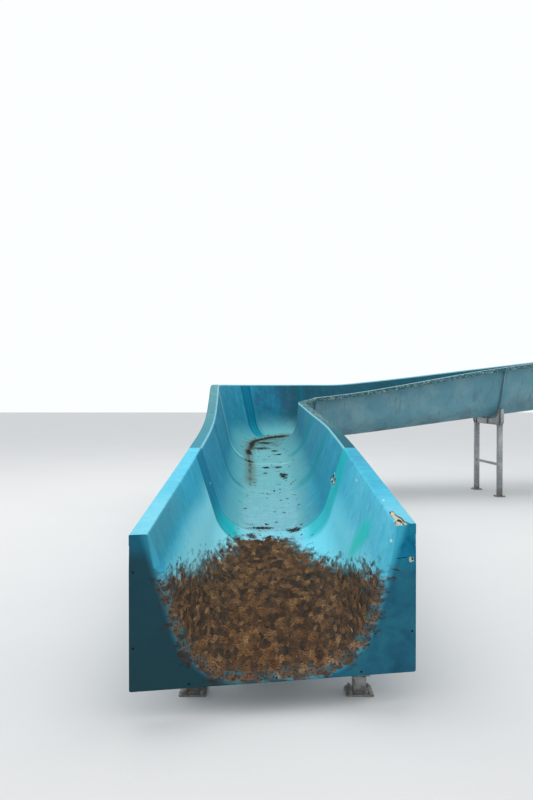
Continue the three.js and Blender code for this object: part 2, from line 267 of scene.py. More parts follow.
# Faded gelcoat on the inside, the lips and the end face
skinValues = ("along", "across", "belowRim", "fromExit")
gelcoat = dict(
    ramp=[(0.0, (0.002, 0.060, 0.110)), (0.20, (0.006, 0.130, 0.215)), (0.40, (0.014, 0.225, 0.350)),
          (0.55, (0.030, 0.330, 0.470)), (0.70, (0.060, 0.440, 0.600)), (0.85, (0.120, 0.540, 0.700)),
          (1.0, (0.230, 0.660, 0.780))],
    bands=[   # side, from, to along the run, softness of the edges, strength
        (-1, 3.02, 3.615, 0.012, 1.0), (-1, 5.54, 5.66, 0.020, 0.95), (-1, 7.20, 7.40, 0.050, 0.90),
        (-1, 9.68, 9.83, 0.012, 1.0), (-1, 10.44, 10.53, 0.03, 0.65), (-1, 13.90, 14.10, 0.03, 0.6),
        (1, 3.06, 3.640, 0.130, 0.80), (1, 5.56, 5.94, 0.110, 0.60), (1, 7.44, 7.70, 0.070, 0.70),
        (1, 9.62, 9.78, 0.030, 0.7), (1, 10.40, 10.53, 0.03, 0.5), (1, 13.85, 14.10, 0.05, 0.5),
    ],
    bandHigh=(0.0, 0.165, 0.275), bandLow=(0.0, 0.430, 0.452), bandFar=(0.010, 0.205, 0.225),
    ridgeHighlights=(2.985, 7.43), paleSeam=7.17,      # along the run; the ridges carry a painted highlight
    algae=dict(along=1.20, across=0.97, lean=-0.9, long=0.22, wide=0.23),
    stain=dict(across=-0.295, start=5.75, end=10.35),
    marks=[   # silt and leaf crumbs lying on the floor: along, across, length, width
        (7.31, -0.305, 0.10, 0.065), (8.07, -0.285, 0.26, 0.055), (6.45, 0.195, 0.17, 0.055),
        (6.93, -0.05, 0.055, 0.060), (6.95, 0.14, 0.050, 0.070), (8.50, -0.05, 0.10, 0.140),
        (8.24, 0.160, 0.07, 0.060), (7.90, 0.205, 0.07, 0.050), (9.15, 0.02, 0.16, 0.110),
        (5.58, 0.038, 0.05, 0.012), (3.72, -0.12, 0.06, 0.120), (3.62, 0.24, 0.10, 0.080),
    ],
    flecks=[(0.148, 1.252, 0.015, 0.012), (2.13, 1.284, 0.045, 0.010), (0.87, 1.392, 0.020, 0.011),
            (3.43, -0.994, 0.026, 0.011)],
    # On the end face: from and to, out from the middle and up; the opening's leaning wall
    cracks=[(0.775, 0.699, 0.862, 0.709), (0.748, 0.635, 0.815, 0.617)],
    endWall=dict(out=0.631, up=0.43, lean=0.31, square=0.955),
    endBlue=[(0.30, (0.003, 0.110, 0.200)), (0.48, (0.008, 0.165, 0.280)), (0.68, (0.018, 0.220, 0.320))],
    leafAndShadowBrown=[(0.10, (0.016, 0.006, 0.002)), (0.40, (0.066, 0.027, 0.008)),
               (0.70, (0.148, 0.064, 0.019)), (0.95, (0.300, 0.160, 0.065))],
)


def mostOf(wires):
    whole = wires[0]
    for wire in wires[1:]:
        whole = whole.most(wire)
    return whole


def fadedGelcoat():
    look, paint = gelcoat, Paint("fadedGelcoat")
    step, fall, between, over = paint.step, paint.fall, paint.between, paint.over
    along, across, below, fromExit = [paint.attribute(key) for key in skinValues]
    right = step(across, -0.16, 0.16)
    left = 1 - right
    aside = abs(across)
    lip = fall(below, -0.006, 0.006)
    wall = 1 - lip
    first = fall(along, straightLength - 0.002, straightLength + 0.002)      # the exit section
    beyond = 1 - first
    broad, cloud, grain = paint.sway(0.9), paint.sway(3.4, 4.0, 0.6), paint.sway(70.0, 2.0)
    mottle, hue = paint.sway(11.0, 4.0, 0.65, 0.4), paint.sway(6.5, 4.0, 0.7)
    ragged, fine = paint.sway(22.0, 4.0, 0.7), paint.noise(340.0, 2.0)

    def streaks(perAlong, perAcross, *kind):
        return paint.noise(1.0, *kind, at=paint.joined(along * perAlong, across * perAcross))

    def bySide(onLeft, onRight):
        return onLeft * left + onRight * right

    def dots(rows, wild, low, high):       # ragged ovals
        for rowAlong, rowAcross, length, width in rows:
            dAlong = (along - rowAlong) / length
            dAcross = (across - rowAcross) / width
            yield fall(dAlong * dAlong + dAcross * dAcross + ragged * wild, low, high)

    # How far the sun has bleached it: the exit section more. Every wall is paler low down, partly from
    # bleaching and partly painted light where the wall turns up to the sky
    washed, brushed = streaks(16.0, 1.3, 4.0, 0.65) - 0.5, streaks(0.7, 26.0, 4.0, 0.6) - 0.5
    soon, late, farther = step(along, 0.4, 1.3), step(along, 0.8, 3.4), step(along, 3.6, 9.0)
    lowLeft = fall(aside + late * 0.15, 0.95, 1.22)
    lowRight = fall(aside + late * 0.10, 0.84, 1.10)
    # On the left, the fall over 0.3 to 1.3 along the run is painted shade of twigs near the exit
    exitTone = bySide(0.57 + lowLeft * (0.30 - late * 0.04) - fall(along, 0.3, 1.3) * 0.10,
                      0.80 - late * 0.09 + lowRight * 0.20)
    exitLip = bySide(0.84 - soon * 0.10, 0.71 - soon * 0.05 - late * 0.15)
    exitTone = exitTone + lip * (exitLip - exitTone)
    # Beyond the exit, painted shade deepens the walls further up the run (farther) and most on the back
    # wall of the bend; the lower left wall is paler
    back = step(along, 9.80, 9.92) * left
    shadedBackWall = step(along, 10.12, 10.32) * back
    lower = fall(aside, 0.50, 1.0) * (0.13 - farther * 0.06)
    farTone = bySide(0.415 + lower, 0.53 - farther * 0.18) - back * 0.12 - shadedBackWall * 0.17
    # painted shade high on the left wall of the third section
    third = between(along, 5.5, 5.7, 7.2, 7.6) * left
    farTone = farTone - third * step(aside, 0.70, 0.90) * 0.06
    farTone = farTone + lip * (bySide(0.42, 0.22) - farTone)
    tone = exitTone * first + farTone * beyond
    tone = tone + broad * 0.20 + cloud * 0.24 + mottle * 0.26 + washed * wall * 0.20 + grain * 0.14
    paint.colour = paint.ramp(tone, look["ramp"])
    over(beyond * wall * 0.12, (0.075, 0.175, 0.205))
    blots = paint.patches(0.48, 0.60, 4.0, 3.0, 0.60) * back * between(aside, 0.75, 0.95, 1.30, 1.45)
    over(blots * 0.6, (0.028, 0.100, 0.215))
    # painted shade over the back wall further round the bend
    over(shadedBackWall * wall * 0.22, (0.050, 0.080, 0.085))
    tinted = wall * (1 - back * 0.65)
    over(step(hue, 0.02, 0.16) * tinted * 0.34, (0.045, 0.230, 0.480))
    over(step(hue, -0.02, -0.16) * tinted * 0.30, (0.060, 0.400, 0.370))
    over(first * lip * left * (0.36 - soon * 0.20 - late * 0.08), (0.250, 0.540, 0.600))
    over(first * lip * right * (1 - soon) * 0.26, (0.300, 0.540, 0.560))
    # painted shade high on the left wall near the exit
    shadedTopLeft = fall(along, 0.9, 1.8) * left * wall * step(aside, 1.10, 1.30)
    over(shadedTopLeft * 0.35, (0.090, 0.235, 0.245))
    over(beyond * lip * left * (0.5 + farther * 0.3), (0.095, 0.230, 0.225))
    over(beyond * lip * right * 0.64, (0.022, 0.085, 0.090))
    over(farther * wall * right * 0.30, (0.110, 0.270, 0.310))

    # Chalk bloom low on the walls, with painted light where the lower walls turn up to the sky
    ruffled = aside + cloud * 0.25
    bloomAndSkyLight = fall(ruffled, 0.28, 0.88) * left * (0.72 + back * 0.25)
    bloomAndSkyLight = bloomAndSkyLight.most(back * fall(ruffled, 0.48, 0.92) * 0.85)
    bloomAndSkyLight = bloomAndSkyLight + fall(ruffled - farther * 0.14, 0.30, 0.66) * right * 0.60
    bloomAndSkyLightColour = paint.mix(back, (0.135, 0.385, 0.385), (0.155, 0.450, 0.490))
    over((bloomAndSkyLight * beyond * wall).held(), bloomAndSkyLightColour)
    bloomAndSkyLight = fall(ruffled - left * 0.07 - 0.11, 0.66, 1.00) * first
    bloomAndSkyLightColour = paint.mix(right, (0.295, 0.705, 0.770), (0.180, 0.700, 0.840))
    over(bloomAndSkyLight * (0.76 + left * 0.04), bloomAndSkyLightColour)

    # Bleached floor, brushed along the run
    floor = fall(aside + right * 0.04 + cloud * 0.16, 0.27, 0.44)
    chalk = paint.patches(0.36, 0.66, 5.5, 5.0, 0.7) * 0.40 + 0.50 + brushed * 0.5 - farther * 0.10
    chalky = paint.mix(step(along, 4.2, 6.4), (0.205, 0.455, 0.520), (0.160, 0.425, 0.440))
    over((chalk * floor).held(), chalky)
    damp = between(along, 8.0, 9.2, 10.2, 10.6) * floor * fall(aside, 0.20, 0.34)
    over(damp * 0.40, (0.055, 0.110, 0.105))
    seam = fall(abs(along - look["paleSeam"] + cloud * 0.05), 0.015, 0.050)
    over(seam * floor * 0.5, (0.33, 0.60, 0.62))

    # Deeper bands of later gelcoat along the seams, greener towards the floor
    at = along + paint.sway(1.6, 2.0) * 0.035
    bandsOn, edges = {-1: [], 1: []}, []
    for side, start, stop, soft, strength in look["bands"]:
        band = between(at, start - soft, start + soft, stop - soft, stop + soft)
        bandsOn[side].append(band * strength)
        if side < 0:
            edge = fall(abs(at - start - 0.012), 0.004, 0.016)
            edges.append(edge.most(fall(abs(at - stop + 0.012), 0.004, 0.016)) * strength)
    bands = bySide(mostOf(bandsOn[-1]), mostOf(bandsOn[1]))
    bands = bands * step(aside + cloud * 0.10, 0.28, 0.46) * wall * (0.97 + washed * 0.40).held()
    green = fall(aside, 0.45, 0.92) * (0.92 - step(along, 9.0, 9.5) * 0.60) + right
    bandColour = paint.mix(green.held(), look["bandHigh"], look["bandLow"])
    faded = fall(abs(along - 7.0), 2.0, 2.4).most(step(along, 12.0, 13.0)) * (0.80 - left * 0.05)
    over(bands, paint.mix(faded, bandColour, look["bandFar"]))
    over(mostOf(edges) * left * step(aside, 0.38, 0.48) * wall * 0.45, (0.003, 0.070, 0.110))
    over(step(along, 10.30, 10.42) * left * wall * 0.42, (0.012, 0.080, 0.090))
    # pale line on the joint ridges: a painted highlight; the ridges also rise in the bump
    firstRidge, thirdRidge = [abs(at - ridgeHighlight) for ridgeHighlight in look["ridgeHighlights"]]
    ridgeHighlight = fall(firstRidge, 0.010, 0.030) * fall(aside, 1.05, 1.25) * 0.75
    ridgeHighlight = ridgeHighlight.most(fall(thirdRidge, 0.040, 0.120)) * left * step(aside, 0.34, 0.46) * wall
    over(ridgeHighlight * 0.80, (0.22, 0.54, 0.56))

    # Green growth in one patch on the right wall, and thin growth on the far lips
    patch = look["algae"]
    dAcross = across - patch["across"]
    leaned = (along - patch["along"] - dAcross * patch["lean"]) / patch["wide"]
    dAcross = dAcross / patch["long"]
    growth = fall(leaned * leaned + dAcross * dAcross + cloud * 1.6, 0.2, 1.5)
    over(growth * 0.78, (0.022, 0.580, 0.520))
    lichen = paint.patches(0.47, 0.64, 38.0, 4.0, 0.7) * lip
    over(lichen * step(along, 4.5, 7.5) * (0.45 + right * 0.35), (0.34, 0.42, 0.35))
    rimHighlight = fall(abs(below - 0.005), 0.009, 0.019) * beyond      # painted highlight along the rim's rounded edge
    over(rimHighlight * (0.70 + mottle * 0.8).held(), (0.240, 0.560, 0.610))
    # painted highlight on the right lip's top past the bend's tip
    lipTopHighlight = step(along, 10.1, 10.5) * lip * right * step(below, -0.132, -0.124)
    over(lipTopHighlight * 0.7, (0.480, 0.560, 0.620))
    grime = paint.patches(0.56, 0.66, 21.0, 5.0, 0.75) * lip
    over(grime * (0.18 + step(along, 3.6, 8.0) * 0.5) * (1 - lipTopHighlight), (0.035, 0.050, 0.040))

    # Crosswise dirt and specks on the floor, leaf mould in the exit section with painted shadow among the
    # leaves
    crosswise = streaks(17.0, 4.5, 4.0, 0.65, 0.6)
    dirt = step(crosswise, 0.585, 0.66) * step(streaks(1.7, 3.0, 2.0), 0.45, 0.60) * floor
    over(dirt * 0.55, (0.060, 0.085, 0.070))
    dashes = step(streaks(8.0, 11.0, 3.0, 0.55, 0.3), 0.635, 0.67) * fall(aside, 0.30, 0.55)
    over(dashes * 0.95, (0.022, 0.020, 0.013))
    specks = paint.patches(0.64, 0.69, 34.0, 3.0, 0.6) * fall(aside, 0.30, 0.62)
    over(specks * 0.8, (0.040, 0.036, 0.026))
    leafSpot = paint.stretched((1.0, 0.36, 1.7), mottle * 0.05)
    flake = paint.cellValue(24.0, leafSpot)
    clump = paint.sway(12.0, 4.0, 0.65, at=leafSpot)
    spread = abs(across + step(along, 1.0, 3.2) * 0.08) + along * 0.25 - 1.10
    spread = spread + cloud * 0.22 + clump * 0.28 + (flake - 0.5) * 0.12
    mould = fall(spread, -0.06, 0.05)
    mould = mould * fall(along + cloud * 0.9 + clump * 0.6 + flake * 0.3, 3.42, 3.62)
    thin = step(spread, -0.26, 0.02) + fall(fromExit, 0.02, 0.16) * 0.2
    mould = mould * (0.97 - thin.held() * fall(flake + mottle, 0.15, 0.40) * 0.45)
    leafAndShadowBrown = paint.ramp(flake * 0.6 + clump + 0.2, look["leafAndShadowBrown"])
    over(mould, leafAndShadowBrown)
    # dark specks over the mould: painted shadow between the leaves
    over(mould * step(grain, 0.02, 0.12) * 0.9, (0.025, 0.015, 0.008))

    # The dirt line where water stood against the low side of the floor, then across the bend
    stain = look["stain"]
    bending = step(along, 7.9, 9.0)
    inward = step(along, 7.9, 9.15) * 0.10 - step(along, 9.15, 10.3) * 0.14
    line = abs(across - stain["across"] - inward + paint.sway(9.0) * 0.05)
    core = fall(line - bending * 0.022 + ragged * 0.10, 0.006, 0.036)
    core = core * (paint.patches(0.38, 0.56, 13.0, 4.0, 0.7) * (1 - bending) + bending)
    core = core * step(along + cloud * 0.3, stain["start"], stain["start"] + 0.2)
    core = core * fall(along, stain["end"] - 0.25, stain["end"])
    halo = fall(line, 0.03, 0.14) * between(along, 5.6, 6.2, 10.1, 10.5)
    over(halo * (0.54 + bending * 0.08), (0.085, 0.098, 0.062))
    over(core * (0.66 + bending * 0.32), (0.022, 0.016, 0.010))
    silt = step(crosswise, 0.52, 0.58) * step(along, 8.0, 8.9) * floor
    over(silt * (1 - step(along, 9.9, 10.6) * 0.85) * 0.85, (0.032, 0.028, 0.018))
    for mark in dots(look["marks"], 7.0, 0.6, 1.2):
        core = core.most(mark)
        over(mark * 0.97, (0.014, 0.012, 0.008))

    # The end face: deep blue, blotched; painted light where it rolls out of the trough, painted shade on
    # its left side, and soil with painted shade low down
    inside, endWall = paint.colour, look["endWall"]
    x, _, z = paint.parts()
    x = x - startX
    beside, rise = abs(x), z - levels[0]["floor"]
    wallSide = (beside - endWall["out"] - (rise - endWall["up"]) * endWall["lean"]) * endWall["square"]
    cornerX = (beside - trough["floorHalf"]).most(0.0)
    cornerZ = (trough["cornerRadius"] - rise).most(0.0)
    cornerSide = cornerX.maths("SQRT", cornerX * cornerX + cornerZ * cornerZ) - trough["cornerRadius"]
    out = cornerSide + (wallSide - cornerSide) * step(rise, 0.25, 0.37)
    leftward = fall(x, -0.45, 0.35)
    paint.colour = paint.ramp(paint.noise(6.5, 4.0, 0.6, 0.5) + broad * 0.4, look["endBlue"])
    # painted shade over the left side of the end face
    over(leftward * 0.60, (0.014, 0.055, 0.080))
    # darker low down: soil, and painted shade above the leaf pile
    low = fall(z + cloud * 0.15 - leftward * 0.13, 0.84, 0.98) * (0.75 + leftward * 0.15)
    low = low + fall(z + cloud * 0.3, 0.30, 0.85) * 0.10
    soiledAndShaded = paint.mix(leftward, (0.036, 0.046, 0.040), (0.018, 0.050, 0.062))
    over(low * (0.50 + leftward * 0.42), soiledAndShaded)
    # painted light on the roll where the trough turns out into the face, less on the shaded left
    rollHighlight = fall(out + cloud * 0.03, 0.030, 0.088)
    over(rollHighlight * (0.95 - leftward * 0.55), (0.050, 0.400, 0.560))
    for fromX, fromUp, toX, toUp in look["cracks"]:
        length, reach = toX - fromX, x - fromX
        gap = abs(rise - fromUp - reach * ((toUp - fromUp) / length) + cloud * 0.02)
        crack = fall(gap, 0.0015, 0.0045) * between(reach, 0.0, 0.02, length - 0.02, length)
        over(crack * 0.9, (0.003, 0.012, 0.018))
    spill = fall(out + cloud * 0.10 + clump * 0.22 + flake * 0.04, 0.060, 0.110)
    spill = spill * fall(z + cloud * 0.20 + clump * 0.25, 0.80, 0.90) * (0.70 + flake * 0.35)
    over(spill.held(), leafAndShadowBrown)
    endFace = fall(fromExit, 0.0006, 0.005)
    paint.colour = paint.mix(endFace, inside, paint.colour)
    # pale band round the roll: wear, with a painted highlight; less on the shaded left and under the
    # mould
    wearAndRollHighlight = between(fromExit, 0.001, 0.008, 0.030, 0.056) * wall * (0.55 + cloud * 1.2).held()
    over(wearAndRollHighlight * (1 - leftward * 0.5) * (1 - mould * 0.95), (0.075, 0.450, 0.610))

    # Small chips to the white laminate, and crazing
    chip = fall(paint.cells(7.0), 0.018, 0.030) * step(cloud, 0.02, 0.08)
    over(chip * 0.9, (0.60, 0.63, 0.58))
    wandering = paint.stretched((1.0, 1.0, 1.0), mottle * 0.10)
    craze = fall(paint.cells(4.5, "DISTANCE_TO_EDGE", at=wandering), 0.0015, 0.0045)
    craze = craze * step(broad, 0.05, 0.12) * fall(paint.upness(), 0.4, 0.8)
    over(craze * 0.6, (0.010, 0.045, 0.065))
    for fleck in dots(look["flecks"], 1.4, 0.5, 1.0):
        chip = chip.most(fleck)
        over(fleck * 0.9, (0.54, 0.73, 0.76))

    rough = 0.46 + tone.held() * 0.22 - bands * 0.10 + cloud * 0.20 + core * 0.3 + mould * 0.45
    rough = rough + beyond * lip * 0.30
    height = core * 0.8 + dirt * 0.6 + bands * 0.5 + ridgeHighlight * 0.8 + mould * 0.8 + dashes * 0.5
    height = height * (1 - endFace) + fine * 0.12 + grain * 0.35 - chip * 1.4 - craze * 0.5
    waves = paint.bump(broad + cloud * 0.4, 0.020, 0.5)
    return paint.finish(rough.held(), paint.bump(height, 0.0016, 0.9, waves), IOR=1.5,
                        Specular_IOR_Level=0.045)


# The outside of the moulding: flow coat over glass mat, never polished
def mattedOutside():
    paint = Paint("mattedOutside")
    strands = paint.noise(1.0, 3.0, 0.7, 1.2, at=paint.stretched((60.0, 190.0, 110.0)))
    mat = paint.noise(95.0, 4.0, 0.75, 2.0)
    clean = paint.patches(0.35, 0.7, 2.4, 4.0, 0.6) * 0.6
    paint.colour = paint.mix(clean, (0.085, 0.255, 0.330), (0.20, 0.36, 0.40))
    paint.over(paint.step(mat, 0.50, 0.66) * 0.35, (0.30, 0.44, 0.45))
    paint.over(paint.step(strands, 0.54, 0.70) * 0.22, (0.04, 0.15, 0.20))
    wet = paint.patches(0.46, 0.66, 1.3, 5.0, 0.7) * paint.step(paint.attribute("belowRim"), 0.35, 1.2)
    paint.over(wet * 0.6, (0.050, 0.052, 0.040))
    drips = paint.patches(0.54, 0.68, 1.0, 4.0, 0.6, at=paint.stretched((11.0, 11.0, 0.7)))
    paint.over(drips * 0.35, (0.07, 0.10, 0.09))
    rough = 0.62 + (mat - 0.5) * 0.3 + wet * 0.15 - paint.upness() * 0.02
    return paint.finish(rough.held(), paint.bump(mat * 0.7 + strands * 0.4, 0.0022, 0.8), IOR=1.5)


# Broken edges show the laminate: tan resin with white glass
def rawLaminate():
    paint = Paint("rawLaminate")
    fibres = paint.noise(210.0, 4.0, 0.8, 3.0)
    paint.colour = paint.mix(paint.step(fibres, 0.40, 0.58), (0.28, 0.27, 0.17), (0.62, 0.64, 0.52))
    paint.over(paint.patches(0.55, 0.63, 34.0, 3.0, 0.6) * 0.80, (0.060, 0.058, 0.030))
    return paint.finish(0.85, paint.bump(fibres, 0.002))


# Hot-dip galvanised steel, gone dull, with rust where water sits
def dullGalvanised():
    paint = Paint("dullGalvanised")
    spangle = paint.cellValue(46.0)
    cloud = paint.noise(4.0, 4.0, 0.6)
    paint.colour = paint.mix(spangle, (0.22, 0.235, 0.245), (0.36, 0.375, 0.385))
    paint.over(paint.step(cloud, 0.45, 0.70) * 0.6, (0.48, 0.49, 0.48))
    white = paint.patches(0.56, 0.68, 28.0, 4.0, 0.7) * paint.step(cloud, 0.4, 0.6)
    paint.over(white * 0.5, (0.60, 0.60, 0.57))
    foot = paint.fall(paint.parts()[2] + (cloud - 0.5) * 0.25, 0.02, 0.20)
    wet = foot * 0.85 + paint.step(paint.upness(), 0.8, 1.0) * 0.25 + 0.10
    rust = (paint.patches(0.50, 0.64, 13.0, 5.0, 0.72) * wet).held()
    darker = paint.patches(0.4, 0.65, 60.0)
    paint.over(rust, paint.mix(darker, (0.075, 0.026, 0.010), (0.23, 0.088, 0.030)))
    paint.over(foot * 0.5, (0.085, 0.070, 0.050))
    rough = 0.48 + (spangle - 0.5) * 0.12 + rust * 0.35 + white * 0.2
    metal = 0.85 - rust * 0.85 - white * 0.5 - foot * 0.3
    bumps = paint.noise(120.0) * 0.5 + rust * 0.9
    return paint.finish(rough.held(), paint.bump(bumps, 0.0012, 0.8), Metallic=metal.held())


def zincFixing():
    paint = Paint("zincFixing")
    cloud = paint.noise(40.0, 4.0, 0.7)
    rust = paint.patches(0.46, 0.62, 75.0, 4.0, 0.7) * paint.patches(0.42, 0.55, 5.0)
    paint.colour = paint.mix(cloud, (0.20, 0.20, 0.195), (0.40, 0.41, 0.40))
    paint.over(rust * 0.9, (0.17, 0.062, 0.022))
    return paint.finish((0.42 + rust * 0.4).held(), paint.bump(cloud + rust, 0.0006, 0.8),
                        Metallic=(0.9 - rust * 0.9).held())


def agedSealant():
    paint = Paint("agedSealant")
    cloud = paint.noise(24.0, 4.0, 0.7)
    paint.colour = paint.mix(cloud, (0.012, 0.085, 0.120), (0.045, 0.190, 0.240))
    paint.over(paint.patches(0.55, 0.65, 90.0), (0.02, 0.03, 0.03))
    return paint.finish(0.75, paint.bump(cloud, 0.001, 0.8))


# Near-black fill for pits, holes and chip edges: dirt, and painted shadow in the holed lip and along the
# chips' shaded edges
def dirtAndShadowFill():
    paint = Paint("dirtAndShadowFill")
    fillGrain = paint.noise(160.0, 4.0, 0.7)
    paint.colour = paint.mix(paint.step(fillGrain, 0.40, 0.65), (0.006, 0.005, 0.004), (0.030, 0.022, 0.014))
    return paint.finish(0.95, paint.bump(fillGrain, 0.001, 0.8))


def paleFloor():
    paint = Paint("paleFloor")
    cloud, grain = paint.noise(0.6, 4.0, 0.55), paint.noise(40.0)
    paint.colour = paint.mix(cloud * 0.6 + grain * 0.4, (0.60, 0.595, 0.585), (0.66, 0.655, 0.645))
    return paint.finish(0.9, paint.bump(grain, 0.0006, 0.4))


finish = dict(
    gelcoat=fadedGelcoat(), outside=mattedOutside(), raw=rawLaminate(), steel=dullGalvanised(),
    fixing=zincFixing(), sealant=agedSealant(), floor=paleFloor(), dirt=dirtAndShadowFill(),
)
print("finishes made:", len(finish))

# Mesh helpers
smoothUpTo = dict(skin=math.radians(32), steel=math.radians(35), bevel=math.radians(40))
tiny = dict(cutEdge=0.00003, edge=1e-6, apart=1e-5)


def newObject(name, data):
    made = bpy.data.objects.new(name, data)
    bpy.context.scene.collection.objects.link(made)
    return made


def newPiece(name, verts, faces, materials, faceMaterials=None):
    mesh = bpy.data.meshes.new(name)
    mesh.from_pydata([tuple(v) for v in verts], [], faces)
    for material in materials:
        mesh.materials.append(material)
    if faceMaterials:
        mesh.polygons.foreach_set("material_index", faceMaterials)
    mesh.validate()
    mesh.shade_smooth()
    mesh.set_sharp_from_angle(angle=smoothUpTo["skin"])
    return newObject(name, mesh)


def applied(piece):               # the modifiers made part of the mesh
    graph = bpy.context.evaluated_depsgraph_get()
    mesh = bpy.data.meshes.new_from_object(piece.evaluated_get(graph))
    piece.modifiers.clear()
    old = piece.data
    piece.data = mesh
    bpy.data.meshes.remove(old)


def cleaned(piece, degenerate, doubles=None):
    shape = bmesh.new()
    shape.from_mesh(piece.data)
    if doubles:
        bmesh.ops.remove_doubles(shape, verts=shape.verts, dist=doubles)
    bmesh.ops.dissolve_degenerate(shape, edges=shape.edges, dist=degenerate)
    shape.to_mesh(piece.data)
    shape.free()
    piece.data.set_sharp_from_angle(angle=smoothUpTo["skin"])


def cutAway(piece, cutters):
    for cutter in cutters:
        modifier = piece.modifiers.new("cut", "BOOLEAN")
        modifier.operation = "DIFFERENCE"
        modifier.solver = "EXACT"
        modifier.material_mode = "INDEX"
        modifier.object = cutter
    applied(piece)
    for cutter in cutters:
        bpy.data.objects.remove(cutter)
    cleaned(piece, tiny["cutEdge"])


def onRoot(piece, node=None):
    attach(piece, "root")
    if node:
        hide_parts(*node)


# One half of the trough's section, from the middle of the floor to the lip's hem
halfSteps = dict(floor=5, corner=18, wall=9, rim=6, lip=4, edge=4, hem=2)


def halfProfile(rim, height):
    t, steps = trough, halfSteps
    outer = min(rim, t["rimHalf"]) + t["lipWidth"]
    spanX, spanZ = rim - t["floorHalf"], height - t["cornerRadius"]
    lean = math.atan2(spanZ, spanX) - math.acos(t["cornerRadius"] / math.hypot(spanX, spanZ))
    normal = wayAt(lean)
    upWall = Vector((-math.sin(lean), math.cos(lean)))
    down, aside = Vector((0, -1)), Vector((-1, 0))
    tops, ways = [], []           # points on the top, and their directions into the skin

    def add(top, way):
        tops.append(top)
        ways.append(way)

    def arc(centre, radius, start, end, count, sign=-1, first=1):
        for i in range(first, count + 1):
            way = wayAt(mixed(start, end, i / count))
            add(centre + way * radius, way * sign)
    for i in range(steps["floor"]):
        add(Vector((t["floorHalf"] * i / steps["floor"], 0)), down)
    cornerCentre = Vector((t["floorHalf"], t["cornerRadius"]))
    arc(cornerCentre, t["cornerRadius"], -math.pi / 2, lean, steps["corner"], sign=1, first=0)
    wallFoot = tops[-1]
    setBack = t["rimRound"] * math.tan((math.pi / 2 + lean) / 2)
    wallTop = Vector((rim, height)) - upWall * setBack
    for i in range(1, steps["wall"] + 1):
        add(wallFoot.lerp(wallTop, i / steps["wall"]), normal)
    lipStart = rim + setBack
    rimCentre = Vector((lipStart, height - t["rimRound"]))
    arc(rimCentre, t["rimRound"], math.pi + lean, math.pi / 2, steps["rim"])
    for i in range(1, steps["lip"] + 1):
        add(Vector((mixed(lipStart, outer - t["edgeRound"], i / steps["lip"]), height)), down)
    under = [top + way * t["skin"] for top, way in zip(tops, ways)]
    edgeCentre = Vector((outer - t["edgeRound"], height - t["edgeRound"]))
    innerEdge = t["skin"] + t["innerEdgeRound"]
    innerCentre = Vector((outer - innerEdge, height - innerEdge))
    arc(edgeCentre, t["edgeRound"], math.pi / 2, 0, steps["edge"])
    under += [innerCentre - way * t["innerEdgeRound"] for way in ways[-steps["edge"]:]]
    hem = height - t["lipDrop"]
    for i in range(1, steps["hem"] + 1):
        z = mixed(height - t["edgeRound"], hem + t["hemRound"], i / steps["hem"])
        add(Vector((outer, z)), aside)
        under.append(Vector((outer - t["skin"], min(z, innerCentre.y))))
    add(Vector((outer - t["hemRound"], hem)), aside)
    under.append(Vector((outer - t["skin"] + t["hemRound"], hem)))

    # Where the flange reaches to, for each of them
    flange = [top + way * t["flangeDepth"] for top, way in zip(tops, ways)]
    wallEnd = steps["floor"] + steps["corner"] + steps["wall"]
    turnAt = max(n for n in range(wallEnd + 1) if flange[n].y < hem)
    before = flange[turnAt]
    corner = Vector((before.x + (hem - before.y) * normal.y / -normal.x, hem))
    rest = len(tops) - 1 - turnAt
    for n in range(1, rest + 1):
        flange[turnAt + n] = Vector((mixed(corner.x, under[-1].x, (n - 1) / (rest - 1)), hem))
    arcLength = [0.0]
    for a, b in zip(tops, tops[1:]):
        arcLength.append(arcLength[-1] + (b - a).length)
    rimAt = arcLength[wallEnd] + setBack
    return dict(top=tops, under=under, flange=flange, way=ways, across=arcLength,
                belowRim=[rimAt - s for s in arcLength], outer=outer, hem=hem)


def wholeProfile(distance):       # from the left hem to the right one
    left, right = [halfProfile(levelAt(distance, side + "Rim"), levelAt(distance, side))
                   for side in ("left", "right")]
    whole = {key: [Vector((-p.x, p.y)) for p in left[key][:0:-1]] + right[key]
             for key in ("top", "under", "flange", "way")}
    whole["across"] = [-s for s in left["across"][:0:-1]] + right["across"]
    whole["belowRim"] = left["belowRim"][:0:-1] + right["belowRim"]
    return dict(whole, outer=right["outer"], hem=right["hem"])


def skinPiece(name, verts, faces, mats, values):
    piece = newPiece(name, verts, faces, [finish["gelcoat"], finish["outside"]], mats)
    for column, key in enumerate(skinValues):
        layer = piece.data.attributes.new(key, "FLOAT", "POINT")
        layer.data.foreach_set("value", [v[column] for v in values])
    return piece


def closedQuads(near, far):       # faces between two closed rows of corners
    ahead = [(i + 1) % len(near) for i in range(len(near))]
    return [(near[i], near[n], far[n], far[i]) for i, n in enumerate(ahead)]


def skinBetween(faces, mats, top, low, farTop, farLow):      # both sides and both edges
    for i in range(len(low) - 1):
        faces.append((top[i], top[i + 1], farTop[i + 1], farTop[i]))
        faces.append((low[i], farLow[i], farLow[i + 1], low[i + 1]))
        mats += [0, 1]
    end = len(low) - 1
    faces.append((top[0], farTop[0], farLow[0], low[0]))
    faces.append((top[end], low[end], farLow[end], farTop[end]))
    mats += [1, 1]


